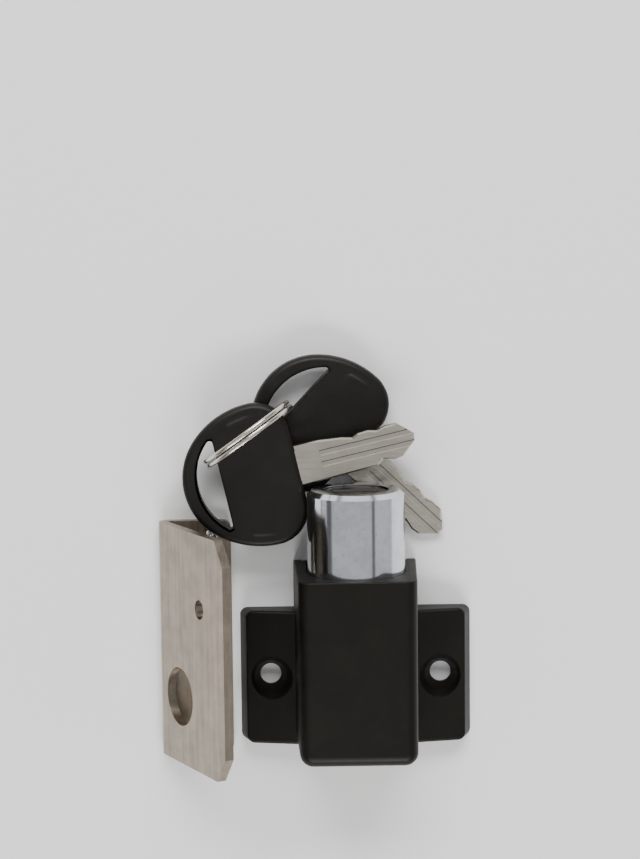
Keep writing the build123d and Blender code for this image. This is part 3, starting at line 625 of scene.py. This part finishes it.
def brushed(name, base, roughness, streaks, turn, depth=0.01, shade=0.78, key=None):
    """Brushed or rolled metal: streaks along one direction, fine scratches and a slow stain.

    On a key's blade, painted shade darkens what lies below the faces, a painted shadow runs along one wall
    of each groove, and a painted highlight lightens the other wall."""
    s = Shader(name, base, roughness, 1.0)
    streak = s.noise(s.place(streaks, turn), 1.0, 5.0, 0.65)
    scratch = s.noise(s.place([4 * c for c in streaks], turn), 1.0, 2.0, 0.6).step(0.58, 0.72)
    stain = s.noise(s.place(), 0.22, 4.0, 0.6)
    dark = tinted(base, shade)
    tone = s.mix((streak * 0.7 + stain * 0.5).step(0.35, 0.85), dark, base)
    if key:
        # Painted shade: what lies below the blade's faces, in the grooves and at the edges, is darkened
        sunk_shade = (BLADE_HALF - s.along(key, (0, 0, 1)).absolute()).step(0.1, 0.3)
        tone = s.mix(sunk_shade * 0.25, tone, dark)
        side = s.along(key, (0, 1, 0))
        for middle in GROOVE_MIDDLES:
            shadow_wall_mask = (side - (middle + GROOVE_WIDTH / 2)).absolute() * -1.0
            highlight_wall_mask = (side - (middle - GROOVE_WIDTH / 2)).absolute() * -1.0
            # Painted shadow: a dark line along the upper wall of each groove; painted highlight: a light
            # band along the lower wall
            tone = s.mix(sunk_shade * shadow_wall_mask.step(-0.3, -0.1), tone, tinted(base, 0.12))
            tone = s.mix(sunk_shade * highlight_wall_mask.step(-0.25, -0.05) * 0.7, tone, tinted(base, 1.4))
    s.feed(Base_Color=tone, Roughness=roughness * 0.75 + streak * (roughness * 0.4) + scratch * 0.1)
    s.bump(streak * 0.7 + scratch * 0.3, depth, 0.6)
    return s.material


def blade_nickel(name, key):
    """Milled nickel whose streaks run along the key's blade, with painted shade, shadow and highlight at its
    grooves.
    """
    nickel = (0.57, 0.525, 0.455)
    return brushed(name, nickel, 0.3, (0.1, 1.8, 1.8), (0, 0, -key.heading), 0.0012, 0.8, key)


def moulded(name, base, roughness):
    """Satin moulded plastic: a fine spark-eroded grain with polished patches."""
    s = Shader(name, base, roughness, Specular_IOR_Level=0.3, Specular_Tint=(1, 0.96, 0.9, 1))
    place = s.place()
    grain = s.cells(place, 5.0)
    fine = s.noise(place, 9.0, 2.0)
    patch = s.noise(place, 0.3, 3.0)
    s.feed(Roughness=roughness * 0.85 + grain * 0.12 + patch * 0.1,
           Base_Color=s.mix(patch.step(0.3, 0.8), base, tinted(base, 1.5)))
    s.bump(grain * 0.6 + fine * 0.4, 0.03, 0.5)
    return s.material


def dress(material, *nodes):
    """Give CAD nodes a finish."""
    for node in nodes:
        mesh = NODES[node].data
        mesh.materials.clear()
        mesh.materials.append(material)


PAINT = cast_paint("cast_black_paint", (0.003, 0.0025, 0.0018), (0.0025, 0.002, 0.0014),
                   (0.004, 0.0033, 0.0024), 0.36)
CHROME = bright_plate("barrel_chrome", (0.65, 0.67, 0.71), 0.12, (0.9, 0.05, 0.9), 0.0012)
# Painted reflection: the plug's very dark base colour stands in for the dark surroundings that its end face
# mirrors
PLUG = bright_plate("plug_nickel_painted_dark", (0.07, 0.065, 0.06), 0.3, (0.5, 0.5, 4.0), 0.002)
BRASS = bright_plate("turned_brass", (0.72, 0.52, 0.25), 0.22, (0.5, 6.0, 0.5), 0.006)
STEEL = brushed("machined_steel", (0.5, 0.49, 0.47), 0.3, (0.5, 6.0, 0.5), (0, 0, 0))
WIRE = brushed("spring_wire", (0.66, 0.62, 0.56), 0.24, (0.8, 0.8, 0.8), (0, 0, 0), 0.0008, 0.9)
FRONT_BLADE = blade_nickel("front_blade_nickel", FRONT_KEY)
REAR_BLADE = blade_nickel("rear_blade_nickel", REAR_KEY)
STRIKE = brushed("strike_satin", (0.385, 0.325, 0.258), 0.36, (0.9, 0.04, 0.9), (0, 0, 2), 0.002, 0.55)
SCREWS = brushed("screw_zinc", (0.66, 0.65, 0.62), 0.24, (0.9, 0.9, 0.9), (0, 0, 0), 0.0015, 0.85)
PLASTIC = moulded("key_head_plastic", (0.003, 0.0026, 0.0021), 0.42)

dress(PAINT, "housing", "back_cover")
dress(CHROME, "barrel")
dress(PLUG, "plug")
dress(BRASS, "bolt_bush", "plug_wafers")
dress(STEEL, "bolt", "bolt_pin", "spring_washer", "plug_disc", "locking_dog")
dress(STEEL, "cover_screws", "guide_screw")
dress(WIRE, "dog_spring", "wafer_springs", "plug_clip")
dress(FRONT_BLADE, "key_blade_front")
dress(REAR_BLADE, "key_blade_rear")
dress(STRIKE, "strike_plate")


# Pieces that stand for CAD nodes


def moulded_heads():
    """The same head on both keys, each on its own body."""
    points, faces = key_head()
    for title, key in (("front", FRONT_KEY), ("rear", REAR_KEY)):
        parts = [(placed(points, key.place, key_turn(key)), faces)]
        add_mesh("moulded_head_" + title, parts, PLASTIC, title + "_key", "key_head_" + title,
                 60.0)


def wound_return_spring():
    """Return spring wound to fill the CAD spring's length, riding on the housing, with a mesh of its own."""
    low, high = (corner[1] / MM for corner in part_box("return_spring"))
    spring = add_mesh("wound_return_spring", return_spring(low, high), WIRE, "housing", "return_spring")
    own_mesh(spring)


moulded_heads()
add_mesh("split_ring", wound_ring(), WIRE, "front_key", "key_ring")
wound_return_spring()
add_mesh("threaded_screws", screw_row(), SCREWS, "screws", "fixing_screws")


# Floor, light and camera


def facing(place, back, right):
    """Place with x to the right, z back towards the viewer and y across both, as a 4 by 4 array."""
    axes = np.eye(4)
    axes[:3] = np.stack([right, np.cross(back, right), back, place], -1)
    return axes


def floor():
    """A large plain pale sheet just under the parts."""
    mesh = bpy.data.meshes.new("pale_floor")
    corners = FLOOR_HALF * np.array([(-1, -1, 0), (1, -1, 0), (1, 1, 0), (-1, 1, 0)])
    mesh.from_pydata(corners - (0, 0, FLOOR_DEPTH), [], [(0, 1, 2, 3)])
    mesh.materials.append(Shader("floor_paper", (0.9, 0.9, 0.895), 0.7).material)
    put(mesh, "pale_floor")


def soft_box(name, place, target, size, power):
    """A rectangular area light turned towards a point, all in metres and watts."""
    light = bpy.data.lights.new(name, "AREA")
    light.shape = "RECTANGLE"
    light.size, light.size_y = size
    light.energy = power
    back = np.array(place, float) - np.array(target, float)
    back /= np.linalg.norm(back)
    right = np.cross((0.0, 1.0, 0.0), back)
    right /= np.linalg.norm(right)
    put(light, name, facing(place, back, right))


def studio():
    """Grey surroundings, a wide box overhead, strips on both sides and boxes at both ends."""
    world = bpy.data.worlds.new("studio")
    world.use_nodes = True
    surroundings = world.node_tree.nodes["Background"]
    surroundings.inputs["Color"].default_value = WORLD_COLOUR
    surroundings.inputs["Strength"].default_value = WORLD_STRENGTH
    bpy.context.scene.world = world
    for name, settings in LIGHTS.items():
        soft_box(name, *settings)


def camera():
    """Camera at the fitted place, with the lens that goes with it."""
    data = bpy.data.cameras.new("camera")
    data.sensor_fit = "HORIZONTAL"
    data.sensor_width = SENSOR_WIDTH
    data.lens = CAMERA_LENS
    data.clip_start, data.clip_end = NEAR_CLIP, FAR_CLIP
    place = np.array(CAMERA_PLACE) * MM
    bpy.context.scene.camera = put(data, "camera", facing(place, CAMERA_BACK, CAMERA_RIGHT))


floor()
studio()
camera()
